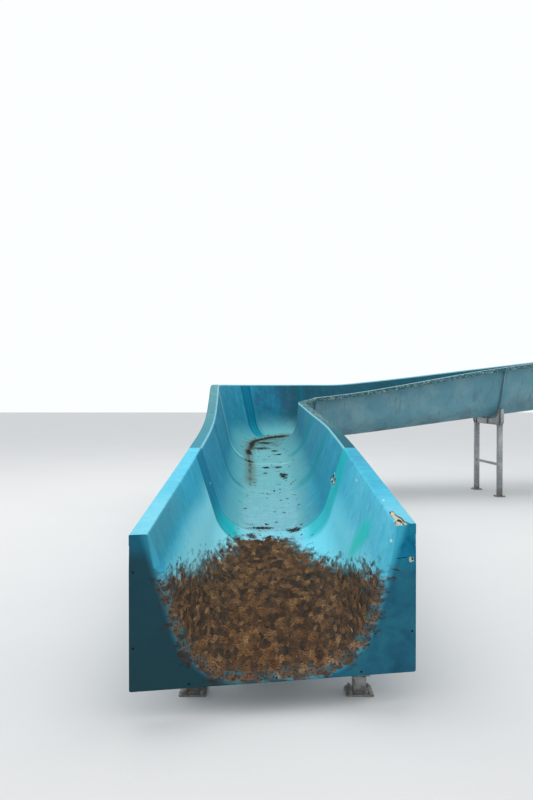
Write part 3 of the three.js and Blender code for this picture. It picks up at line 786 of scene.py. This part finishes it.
# Rings of paired points become one closed skin
class Skin:
    def __init__(self):
        self.rings = []           # each: top points, under points, and their values

    def ring(self, distance, under="under", deep=0.0):
        profile = wholeProfile(distance)
        tops, unders, values = [], [], []
        for n, top in enumerate(profile["top"]):
            top = top + profile["way"][n] * deep
            low = profile[under][n]
            atTop = distance + slant(distance, top.x)
            tops.append(place(atTop, top.x, top.y))
            unders.append(place(distance + slant(distance, low.x), low.x, low.y))
            values.append((atTop, profile["across"][n], profile["belowRim"][n], distance))
        self.rings.append((tops, unders, values))

    def shell(self, openStart=False):
        verts, faces, mats, values, rows = [], [], [], [], []
        for tops, unders, ringValues in self.rings:
            start, count = len(verts), len(tops)
            rows.append((range(start, start + count), range(start + count, start + 2 * count)))
            verts += tops + unders
            values += ringValues + ringValues
        for near, far in zip(rows, rows[1:]):
            skinBetween(faces, mats, *near, *far)
        (top, low), (farTop, farLow) = rows[0], rows[-1]
        for i in range(count - 1):
            if not openStart:
                faces.append((top[i], low[i], low[i + 1], top[i + 1]))
            faces.append((farTop[i], farTop[i + 1], farLow[i + 1], farLow[i]))
        mats += [1] * (len(faces) - len(mats))
        return verts, faces, mats, values


sections = [dict(node=node, name=name, start=start, end=end) for node, name, start, end in (
    ("exit_section", "exitSection", 0.0, 3.6), ("section_2", "section2", 3.6, 5.7),
    ("section_3", "section3", 5.7, 7.4), ("bend_section_4", "bendSection4", 7.4, 9.75),
    ("bend_section_5", "bendSection5", 9.75, 10.5), ("section_6", "section6", 10.5, 14.1),
    ("section_7", "section7", 14.1, 17.7),
)]
sectionMesh = dict(straightStep=0.10, bendStep=0.030, bendFrom=8.95, bendTo=10.55,
                   chamfer=0.002, fillet=0.008, underStep=0.0002)


def stepsBetween(start, end):
    m = sectionMesh
    marks = [start]
    while marks[-1] < end:
        bending = m["bendFrom"] < marks[-1] < m["bendTo"]
        marks.append(marks[-1] + (m["bendStep"] if bending else m["straightStep"]))
    shrink = (end - start) / (marks[-1] - start)
    return [start + (mark - start) * shrink for mark in marks[1:-1]]


def flangedEnd(skin, distance, sign):
    m, thick = sectionMesh, trough["flangeThickness"]
    rings = [
        (distance, "flange", m["chamfer"]), (distance + sign * m["chamfer"], "flange", 0.0),
        (distance + sign * thick, "flange", 0.0),
        (distance + sign * (thick + m["underStep"]), "under", 0.0),
    ]
    for ring in rings[::sign]:
        skin.ring(*ring)


def sectionRings(skin, firstClear, section):
    end = section["end"] - trough["seat"] / 2
    lastClear = end - trough["flangeThickness"] - sectionMesh["fillet"]
    for distance in [firstClear] + stepsBetween(firstClear, lastClear) + [lastClear]:
        skin.ring(distance)
    flangedEnd(skin, end, -1)


# The exit: its skin rolls outwards into a flat end face, which goes on round the trough
exitEnd = dict(edge=0.003, edgeFrom=-0.009, rimRadius=0.020, wallRadius=0.060, wallFrom=0.350,
               rollSteps=10, plateLow=-0.060, plateCorner=0.012, flat=0.007, firstRing=0.085,
               plateBelow=0.3, plateSteps=6, cornerSteps=4)


def exitRadius(below):
    e = exitEnd
    if below < e["rimRadius"]:
        return mixed(e["edge"], e["rimRadius"], smooth(below, e["edgeFrom"], e["rimRadius"]))
    share = min(1, (below - e["rimRadius"]) / (e["wallFrom"] - e["rimRadius"]))
    return mixed(e["rimRadius"], e["wallRadius"], math.sin(math.pi / 2 * share))


def plateEdge(outer, hem):        # right hem down, along the bottom and up to the left hem
    low, turn = exitEnd["plateLow"], exitEnd["plateCorner"]
    steps, turnSteps = exitEnd["plateSteps"], exitEnd["cornerSteps"]
    inward, up, path = Vector((-1, 0)), Vector((0, 1)), []
    for i in range(1, steps + 1):
        path.append((Vector((outer, mixed(hem, low + turn, i / steps))), inward))
    for i in range(1, turnSteps + 1):
        way = wayAt(-math.pi / 2 * i / turnSteps)
        path.append((Vector((outer - turn, low + turn)) + way * turn, -way))
    for i in range(1, steps):
        path.append((Vector((mixed(outer - turn, 0, i / steps), low)), up))
    mirror = [(Vector((-p.x, p.y)), Vector((-w.x, w.y))) for p, w in path[::-1]]
    return path + [(Vector((0, low)), up)] + mirror


def exitPiece(section):
    e, depth = exitEnd, trough["skin"]
    profile = wholeProfile(0)
    count = len(profile["top"])
    loop = [(p, w, exitRadius(b), s, b) for p, w, s, b in zip(
        profile["top"], profile["way"], profile["across"], profile["belowRim"])]
    loop += [(p, w, e["edge"], p.x, e["plateBelow"]) for p, w in
             plateEdge(profile["outer"], profile["hem"])]
    verts, values, faces, mats = [], [], [], []

    def add(point, back, across, below):
        at = back + slant(back, point.x)
        verts.append(place(at, point.x, point.y))
        values.append((at, across, below, back))
        return len(verts) - 1
    tops, unders = [], []
    for k in range(e["rollSteps"] + 1):
        angle = math.pi / 2 * (1 - k / e["rollSteps"])
        tops.append([add(p + w * r * (1 - math.cos(angle)), r * (1 - math.sin(angle)), s, b)
                     for p, w, r, s, b in loop])
        unders.append([])
        for under, (p, w, r, s, b) in zip(profile["under"], loop):
            inner = max(r - depth, 0)
            far = max(r - inner * math.cos(angle), (under - p).length)
            unders[-1].append(add(p + (under - p).normalized() * far,
                                  max(r - inner * math.sin(angle), depth), s, b))
    tops.append([add(p, r + e["flat"], s, b) for p, w, r, s, b in loop])
    faces.append(tops[0][::-1])
    for row, behind in zip(tops, tops[1:]):
        faces += closedQuads(row, behind)
    mats += [0] * len(faces)
    for row, behind in zip(unders, unders[1:]):
        for i in range(count - 1):
            faces.append((row[i], behind[i], behind[i + 1], row[i + 1]))
    topEnd = tops[-1]
    faces.append([topEnd[0]] + unders[0] + topEnd[count - 1:])
    mats += [1] * (len(faces) - len(mats))

    skin = Skin()
    sectionRings(skin, e["firstRing"], section)
    offset = len(verts)
    ringVerts, ringFaces, ringMats, ringValues = skin.shell(openStart=True)
    verts += ringVerts
    values += ringValues
    faces += [tuple(v + offset for v in face) for face in ringFaces]
    mats += ringMats
    topRow, lowRow = range(offset, offset + count), range(offset + count, offset + 2 * count)
    skinBetween(faces, mats, topEnd, unders[-1], topRow, lowRow)
    piece = skinPiece(section["name"], verts, faces, mats, values)
    cleaned(piece, tiny["edge"], tiny["apart"])
    return piece


# Damage and holes, cut through or into the skin
def onSkin(distance, across, deep=0.0):
    profile = wholeProfile(distance)
    marks = profile["across"]
    i = next(n for n in range(len(marks) - 1) if across <= marks[n + 1] or n == len(marks) - 2)
    t = (across - marks[i]) / (marks[i + 1] - marks[i])
    way = profile["way"][i].lerp(profile["way"][i + 1], t).normalized()
    flat = profile["top"][i].lerp(profile["top"][i + 1], t) + way * deep
    heading = runAt(distance)[2]
    ahead = Vector((-math.sin(heading), math.cos(heading), 0))
    inward = Vector((way.x * math.cos(heading), way.x * math.sin(heading), way.y))
    return place(distance + slant(distance, flat.x), flat.x, flat.y), ahead, inward


cutSlots = ["gelcoat", "outside", "raw", "dirt"]


def cutterFrom(shape, kind="raw"):
    mesh = bpy.data.meshes.new("cutter")
    bmesh.ops.recalc_face_normals(shape, faces=shape.faces)
    if shape.calc_volume(signed=True) < 0:
        bmesh.ops.reverse_faces(shape, faces=shape.faces)
    for face in shape.faces:
        face.material_index = cutSlots.index(kind)
    shape.to_mesh(mesh)
    shape.free()
    for slot in cutSlots:
        mesh.materials.append(finish[slot])
    return newObject("cutter", mesh)


def lumpCutter(shaped, kind="raw"):      # a ball, each of its points moved
    shape = bmesh.new()
    bmesh.ops.create_icosphere(shape, subdivisions=3, radius=1.0)
    for vert in shape.verts:
        vert.co = shaped(vert.co)
    return cutterFrom(shape, kind)


chipShape = dict(rough=0.45, grit=0.6, lumpsPerSize=1.6, gritPerSize=4.5, shift=(7.31, 3.17, 1.93))


def chipCutter(distance, across, long, wide, deep, seed, kind="raw"):
    point, ahead, inward = onSkin(distance, across)
    s, sideways = chipShape, ahead.cross(inward)
    shift = Vector([seed * share for share in s["shift"]])

    def shaped(co):
        lumps, grit = [noise.noise(co * s[key] + shift) for key in ("lumpsPerSize", "gritPerSize")]
        c = co * (1 + s["rough"] * lumps + s["rough"] * s["grit"] * grit)
        flat = point + ahead * (c.x * long / 2) + sideways * (c.y * wide / 2)
        return flat + inward * (c.z * deep * 2 - deep)
    return lumpCutter(shaped, kind)


broken = dict(steps=4, above=0.02, most=0.0094, innerWave=0.003, outerWave=0.004, waves=70,
              lumps=0.35, lumpsPerMetre=55, shift=(4.1, 9.7, 2.3))


def brokenCutter(rows, kind="raw", columns=8):
    m, shape, lines = broken, bmesh.new(), []
    shift = Vector(m["shift"])
    for k in range((len(rows) - 1) * m["steps"] + 1):
        i = min(k // m["steps"], len(rows) - 2)
        distance, inner, outer, deep = [mixed(p, q, k / m["steps"] - i)
                                        for p, q in zip(rows[i], rows[i + 1])]
        inner += m["innerWave"] * noise.noise(shift + Vector((distance * m["waves"], 0, 0)))
        outer += m["outerWave"] * noise.noise(shift + Vector((distance * m["waves"], 5, 0)))
        line = []
        for column in range(columns):
            point, ahead, inward = onSkin(distance, mixed(inner, outer, column / (columns - 1)))
            lump = m["lumps"] * noise.noise(shift + point * m["lumpsPerMetre"])
            down = min(deep * (1 + lump), m["most"])
            line.append([shape.verts.new(point + inward * by) for by in (-m["above"], down)])
        lines.append(line)
    faces = []
    for near, far in zip(lines, lines[1:]):
        skinBetween(faces, [], *zip(*near), *zip(*far))
    for line in (lines[0], lines[-1]):
        faces += [(*a, *b[::-1]) for a, b in zip(line, line[1:])]
    for face in faces:
        shape.faces.new(face)
    return cutterFrom(shape, kind)


def facing(point, axis):          # a matrix that sets +Z along the axis, at the point
    return Matrix.Translation(point) @ axis.to_track_quat("Z", "Y").to_matrix().to_4x4()


def holeCutter(point, axis, radius, depth, kind="raw"):
    shape = bmesh.new()
    bmesh.ops.create_cone(shape, cap_ends=True, segments=28, radius1=radius, radius2=radius,
                          depth=depth)
    bmesh.ops.transform(shape, matrix=facing(point, axis), verts=shape.verts)
    return cutterFrom(shape, kind)


boltLine = dict(spacing=0.220, deep=0.035, fromEdge=0.40, most=7, holeRadius=0.007, holeDepth=0.08)


def boltMarks(distance):          # arc lengths of the bolts round a joint
    marks = wholeProfile(distance)["across"]
    low, high = marks[0] + boltLine["fromEdge"], marks[-1] - boltLine["fromEdge"]
    steps = range(-boltLine["most"], boltLine["most"] + 1)
    return [k * boltLine["spacing"] for k in steps if low < k * boltLine["spacing"] < high]


brokenLip = [           # the corner at the exit: from the exit, inner and outer edge, depth
    (-0.030, 1.350, 1.438, 0.0085), (0.000, 1.354, 1.436, 0.0085), (0.030, 1.361, 1.432, 0.0064),
    (0.060, 1.371, 1.430, 0.0050), (0.090, 1.371, 1.417, 0.0046), (0.120, 1.370, 1.419, 0.0046),
    (0.150, 1.374, 1.421, 0.0046), (0.180, 1.371, 1.409, 0.0042), (0.210, 1.368, 1.406, 0.0040),
    (0.250, 1.371, 1.399, 0.0036), (0.290, 1.369, 1.401, 0.0030), (0.330, 1.376, 1.404, 0.0026),
    (0.365, 1.385, 1.397, 0.0012),
]
# blind pits whose dark fill is painted shadow where the lip is holed through
lipPits = [
    [(0.052, 1.400, 1.412, 0.0088), (0.080, 1.394, 1.416, 0.0092), (0.115, 1.388, 1.413, 0.0092),
     (0.150, 1.392, 1.409, 0.0088)],
    [(-0.002, 1.412, 1.421, 0.0088), (0.024, 1.408, 1.419, 0.0090), (0.044, 1.404, 1.413, 0.0086)],
]
# the narrow chips that show 'dirt' fill the shaded edge of each raw chip with dark fill, a painted shadow
chips = dict(           # along, across, long, wide, deep, seed, what shows
    exitSection=[(3.520, 0.990, 0.190, 0.046, 0.0034, 21),
                 (3.500, 1.003, 0.130, 0.016, 0.0044, 23, "dirt")],
    section2=[(3.710, 0.984, 0.240, 0.056, 0.0034, 11),
              (3.720, 1.002, 0.180, 0.016, 0.0044, 24, "dirt")],
)
# Bolt holes in the end face; the first one's rim is broken out
endHoles = dict(radius=0.00725, deep=0.0085, rim=0.024, rimDeep=0.004, rimSet=0.0025, rimLumps=0.35,
                spots=[(0.890, 0.682), (-0.890, 0.682), (0.890, 0.210), (-0.890, 0.210),
                       (0.550, -0.035), (0.0, -0.035), (-0.550, -0.035)])


def damage(piece, section):
    h = endHoles
    cutters = [chipCutter(*chip) for chip in chips.get(section["name"], [])]
    if section["start"] == 0:
        cutters += [brokenCutter(brokenLip)] + [brokenCutter(pit, "dirt", 4) for pit in lipPits]
        spots = [place(slant(0, across), across, up) for across, up in h["spots"]]

        def shaped(co):
            c = co * (1 + h["rimLumps"] * noise.noise(co * 1.8))
            return spots[0] + Vector((c.x * h["rim"], c.y * h["rimDeep"] - h["rimSet"], c.z * h["rim"]))
        cutters.append(lumpCutter(shaped))
        for spot in spots:
            cutters.append(holeCutter(spot, Vector((0, 1, 0)), h["radius"], h["deep"] * 2, "dirt"))
    if section is sections[-1]:
        for mark in boltMarks(section["end"]):
            point, ahead, inward = onSkin(section["end"], mark, boltLine["deep"])
            cutters.append(holeCutter(point, ahead, boltLine["holeRadius"], boltLine["holeDepth"]))
    if cutters:
        for kind in cutSlots[2:]:
            piece.data.materials.append(finish[kind])
        cutAway(piece, cutters)


for section in sections:
    if section["start"] == 0:
        piece = exitPiece(section)
    else:
        skin = Skin()
        start = section["start"] + trough["seat"] / 2
        flangedEnd(skin, start, 1)
        sectionRings(skin, start + trough["flangeThickness"] + sectionMesh["fillet"], section)
        piece = skinPiece(section["name"], *skin.shell())
    damage(piece, section)
    onRoot(piece, [section["node"]])
print("trough sections made")


# Steel: every part is built upright at the middle of its support, then set in place
class Solid:
    def __init__(self):
        self.verts = []
        self.faces = []

    def loft(self, loops, capped=True):      # loops of equal length, each turned the same way
        base, count = len(self.verts), len(loops[0])
        for loop in loops:
            self.verts += [Vector(p) for p in loop]
        rows = [range(base + k * count, base + (k + 1) * count) for k in range(len(loops))]
        for near, far in zip(rows, rows[1:]):
            self.faces += closedQuads(near, far)
        if capped:
            self.faces += [tuple(rows[0])[::-1], tuple(rows[-1])]

    def box(self, low, high):
        (x0, y0, z0), (x1, y1, z1) = low, high
        corners = [(x0, y0), (x1, y0), (x1, y1), (x0, y1)]
        self.loft([[(x, y, z) for x, y in corners] for z in (z0, z1)])

    def move(self, matrix):
        self.verts = [matrix @ v for v in self.verts]
        return self

    def piece(self, name, material, bevel=0):
        piece = newPiece(name, self.verts, self.faces, [finish[material]])
        shape = bmesh.new()
        shape.from_mesh(piece.data)
        bmesh.ops.recalc_face_normals(shape, faces=shape.faces)
        shape.to_mesh(piece.data)
        shape.free()
        if bevel:
            modifier = piece.modifiers.new("bevel", "BEVEL")
            modifier.width = bevel
            modifier.segments = 2
            modifier.limit_method = "ANGLE"
            modifier.angle_limit = smoothUpTo["bevel"]
            applied(piece)
        piece.data.shade_smooth()
        piece.data.set_sharp_from_angle(angle=smoothUpTo["steel"])
        return piece


def roundedSquare(half, turn, z, halfY=None, steps=5):
    halfY = half if halfY is None else halfY
    points = []
    for quarter, (sx, sy) in enumerate([(1, -1), (1, 1), (-1, 1), (-1, -1)]):
        for i in range(steps + 1):
            angle = math.radians(-90 + 90 * quarter + 90 * i / steps)
            points.append((sx * (half - turn) + turn * math.cos(angle),
                           sy * (halfY - turn) + turn * math.sin(angle), z))
    return points


def hexagon(radius, z, turn=0.0):
    angles = [math.radians(60 * i) + turn for i in range(6)]
    return [(radius * math.cos(a), radius * math.sin(a), z) for a in angles]


def circle(radius, z, sides=20):
    angles = [2 * math.pi * i / sides for i in range(sides)]
    return [(radius * math.cos(a), radius * math.sin(a), z) for a in angles]


# A bolt's measures as shares of its size, and its roundings in metres
boltShape = dict(across=0.865, washer=0.20, head=0.62, headEdge=0.55, nut=0.82, nutEdge=0.74,
                 thread=1.22, threadEdge=1.15, narrow=0.90, round=0.0004, threadRound=0.001)


def boltSolid(size, grip, turn=0.0, head=True):   # along +Z, the grip from 0 to its length
    solid, b = Solid(), boltShape
    across, thin = size * b["across"], size * b["washer"]
    narrow, rounded = across * b["narrow"], size - b["round"]
    if head:
        solid.loft([circle(rounded, -thin), circle(size, -thin + b["round"]), circle(size, 0)])
        solid.loft([hexagon(narrow, -thin - size * b["head"], turn),
                    hexagon(across, -thin - size * b["headEdge"], turn), hexagon(across, -thin, turn)])
    solid.loft([circle(size, grip), circle(size, grip + thin - b["round"]), circle(rounded, grip + thin)])
    nut = grip + thin
    solid.loft([hexagon(across, nut, turn), hexagon(across, nut + size * b["nutEdge"], turn),
                hexagon(narrow, nut + size * b["nut"], turn)])
    solid.loft([circle(size / 2, nut, 16), circle(size / 2, nut + size * b["threadEdge"], 16),
                circle(size / 2 - b["threadRound"], nut + size * b["thread"], 16)])
    return solid


def steelPiece(solid, where, name, node, bevel=0.0012):
    piece = solid.move(where).piece(name, "steel", bevel)
    onRoot(piece, [node])


cradle = dict(thickness=0.060, depth=0.120, half=0.690, chamfer=0.060, seat=0.0007, strip=0.008,
              web=0.010, shelf=0.0003, stiffener=0.008, into=0.001, back=0.004, under=0.002)
post = dict(spacing=1.120, wide=0.090, turn=0.009, baseWide=0.180, baseTurn=0.010, baseThick=0.012,
            capThick=0.010, capHalf=0.070, capTurn=0.004, weld=0.006, seat=0.0003, into=0.001,
            weldInto=0.0005, weldLow=(0.45, 0.6), weldHigh=(0.5, 0.7))
anchor = dict(size=0.016, spread=0.065)
tie = dict(wide=0.050, thick=0.005, turn=0.004, share=0.45, fromHeight=0.600, gap=0.0003)


def offsetInward(points, by):
    moved = []
    for i, p in enumerate(points):
        before, after = points[i - 1], points[(i + 1) % len(points)]
        a, b = (p - before).normalized(), (after - p).normalized()
        n1, n2 = Vector((a.y, -a.x)), Vector((b.y, -b.x))
        moved.append(p + (n1 + n2) * by / max(1 + n1.dot(n2), 0.3))
    return moved


def cradlePiece(number, at, key, depth, place3d):
    c, half = cradle, cradle["thickness"] / 2
    floor = levelAt(at, "floor")
    rise = levelAt(at + half, "floor") - levelAt(at - half, "floor")
    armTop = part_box("cradle_%d" % number)[1].z - floor - abs(rise) / 2
    profile = wholeProfile(at)
    bottom = -depth - c["seat"] - c["depth"]
    hollow = [under + way * c["seat"] for under, way in zip(profile[key], profile["way"])]
    hollow = [p for p in hollow if p.y < armTop]
    hollow = [Vector((hollow[0].x, armTop))] + hollow + [Vector((hollow[-1].x, armTop))]
    wide, low = c["half"], bottom + c["chamfer"]
    outline = hollow + [Vector(p) for p in (
        (wide, armTop), (wide, low), (wide - c["chamfer"], bottom), (c["chamfer"] - wide, bottom),
        (-wide, low), (-wide, armTop))]
    inner = offsetInward(outline, c["strip"])

    def put(points, y):           # level below, and as steep as the trough above
        tilt = rise * y / c["thickness"]
        return [Vector((p.x, y, floor + p.y + (tilt if p.y > low + c["shelf"] else 0))) for p in points]
    solid = Solid()
    web, count = c["web"] / 2, len(outline)
    solid.loft([put(outline, -half), put(outline, half), put(inner, half), put(inner, web)], capped=False)
    rows = [range(k * count, (k + 1) * count) for k in range(6)]
    solid.faces.append(tuple(rows[3]))
    solid.loft([put(inner, -web), put(inner, -half)], capped=False)
    solid.faces.append(tuple(rows[4])[::-1])
    solid.faces += closedQuads(rows[5], rows[0])
    foot = floor + bottom + c["strip"] - c["into"]
    for near, far in ((c["back"] - half, c["into"] - web), (web - c["into"], half - c["back"])):
        for x in (-post["spacing"] / 2, post["spacing"] / 2, 0):
            top = min(inner[:len(hollow)], key=lambda p: abs(p.x - x)).y
            thick = c["stiffener"] / 2
            solid.box((x - thick, near, foot), (x + thick, far, floor + top - c["under"]))
    steelPiece(solid, place3d, "cradle%d" % number, "cradle_%d" % number)


def postPiece(number, side, height, middle):
    p = post
    solid = Solid()
    tube, turn, base, weld = p["wide"] / 2, p["turn"], p["baseThick"], p["weld"]
    under = height - p["capThick"]
    (lowBulge, lowRise), (highBulge, highDrop) = p["weldLow"], p["weldHigh"]
    for rows in (           # tube, base plate, cap plate, and the welds at both ends
        [(tube, turn, base - p["into"]), (tube, turn, under + p["into"])],
        [(p["baseWide"] / 2, p["baseTurn"], z) for z in (0.0, base)],
        [(p["capHalf"], p["capTurn"], z, tube) for z in (under, height)],
        [(tube + weld, turn + weld, base - p["weldInto"]),
         (tube + weld * lowBulge, turn + weld * lowBulge, base + weld * lowRise),
         (tube, turn, base + weld)],
        [(tube, turn, under - weld * highDrop),
         (tube + weld * highBulge, turn + weld * highBulge, under + p["weldInto"])],
    ):
        solid.loft([roundedSquare(*row) for row in rows])
    name = "post%d%s" % (number, side.title())
    steelPiece(solid, middle, name, "post_%d_%s" % (number, side), 0.0009)


def tiePiece(number, height, place3d):   # an angle, its corner low and towards the exit
    half = (post["spacing"] - post["wide"]) / 2 - tie["gap"]
    low, turn = -tie["wide"] / 2, tie["turn"]
    leg = low + tie["thick"]
    corner = [(low, low), (-low, low), (-low, leg), (leg + turn, leg),
              (leg + turn * 0.3, leg + turn * 0.3), (leg, leg + turn), (leg, -low), (low, -low)]
    solid = Solid()
    solid.loft([[(x, y, height * tie["share"] + z) for y, z in corner] for x in (-half, half)])
    steelPiece(solid, place3d, "tie%d" % number, "tie_%d" % number)


def joinedBolts(name, solids):
    whole = Solid()
    for solid in solids:
        base = len(whole.verts)
        whole.verts += solid.verts
        whole.faces += [tuple(v + base for v in face) for face in solid.faces]
    onRoot(whole.piece(name, "fixing"))


# Under the exit section's skin, then under the flanges of each joint and of the upper end
supports = [(0.300, "under", trough["skin"])]
supports += [(section["end"], "flange", trough["flangeDepth"]) for section in sections]
chance = random.Random(11)
for number, (at, key, depth) in enumerate(supports, 1):
    x, y, heading = runAt(at)
    place3d = Matrix.Translation((x, y, 0)) @ Matrix.Rotation(heading, 4, "Z")
    height = levelAt(at, "floor") - depth - cradle["seat"] - cradle["depth"] - post["seat"]
    cradlePiece(number, at, key, depth, place3d)
    bolts = []
    for side, sign in (("left", -1), ("right", 1)):
        middle = Vector((sign * post["spacing"] / 2, 0, 0))
        postPiece(number, side, height, place3d @ Matrix.Translation(middle))
        for dx, dy in ((-1, -1), (-1, 1), (1, -1), (1, 1)):
            spot = middle + Vector((dx, dy, 0)) * anchor["spread"]
            bolt = boltSolid(anchor["size"], post["baseThick"], chance.uniform(0, 1), head=False)
            bolts.append(bolt.move(place3d @ Matrix.Translation(spot)))
    joinedBolts("anchorBolts%d" % number, bolts)
    if height > tie["fromHeight"]:
        tiePiece(number, height, place3d)
print("steel made")

# Bolts through the flanges, and the sealant between the sections
joint = dict(bolt=0.012, grip=2 * trough["flangeThickness"] + trough["seat"])
groove = [(-0.0015, 0.0006), (-0.0008, 0.00035), (0.0, 0.0003), (0.0008, 0.00035),
          (0.0015, 0.0006), (0.0, 0.0019)]      # along the run, into the skin
for number, section in enumerate(sections[:-1], 1):
    at = section["end"]
    back = Matrix.Translation((0, 0, -joint["grip"] / 2))
    bolts = []
    for mark in boltMarks(at):
        point, ahead, inward = onSkin(at, mark, boltLine["deep"])
        bolt = boltSolid(joint["bolt"], joint["grip"], chance.uniform(0, 1))
        bolts.append(bolt.move(facing(point, ahead) @ back))
    joinedBolts("jointBolts%d" % number, bolts)
    profile = wholeProfile(at)
    bead = Solid()
    bead.loft([[place(at + step, *(top + way * deep)) for step, deep in groove]
               for top, way in zip(profile["top"], profile["way"])])
    onRoot(bead.piece("jointSealant%d" % number, "sealant"))
print("joints made")

# Camera at the photo's eye, with its horizon
eye = dict(x=-0.065, y=-4.930, z=2.038, focalPixels=778.0, horizon=390.0, imageHigh=800,
           sensor=36.0, clip=300.0)
camera = newObject("camera", bpy.data.cameras.new("camera"))
camera.location = (startX + eye["x"], startY + eye["y"], eye["z"])
downward = math.atan((eye["imageHigh"] / 2 - eye["horizon"]) / eye["focalPixels"])
camera.rotation_euler = (math.pi / 2 - downward, 0, 0)
camera.data.sensor_width = eye["sensor"]
camera.data.lens = eye["sensor"] * eye["focalPixels"] / eye["imageHigh"]
camera.data.clip_end = eye["clip"]
bpy.context.scene.camera = camera

# Pale floor, soft light
floorMesh = bpy.data.meshes.new("paleFloor")
reach = 60.0
floorMesh.from_pydata([(-reach, -reach, 0), (reach, -reach, 0), (reach, reach, 0), (-reach, reach, 0)],
                      [], [(0, 1, 2, 3)])
floorMesh.materials.append(finish["floor"])
floorPlane = newObject("paleFloor", floorMesh)

world = bpy.data.worlds.new("softSky")
world.use_nodes = True
sky = world.node_tree.nodes["Background"].inputs
sky["Color"].default_value = (0.93, 0.965, 1.0, 1.0)
sky["Strength"].default_value = 1.05
bpy.context.scene.world = world
lamp = dict(name="overhead", size=14.0, power=900.0, at=(-4.5, 1.0, 12.0), to=(-3.0, 0.0, 0.5))
light = bpy.data.lights.new(lamp["name"], "AREA")
light.size = lamp["size"]
light.energy = lamp["power"]
holder = newObject(lamp["name"], light)
holder.location = lamp["at"]
aim = Vector(lamp["to"]) - Vector(lamp["at"])
holder.rotation_euler = aim.to_track_quat("-Z", "Y").to_euler()
bpy.context.scene.view_settings.view_transform = "Standard"
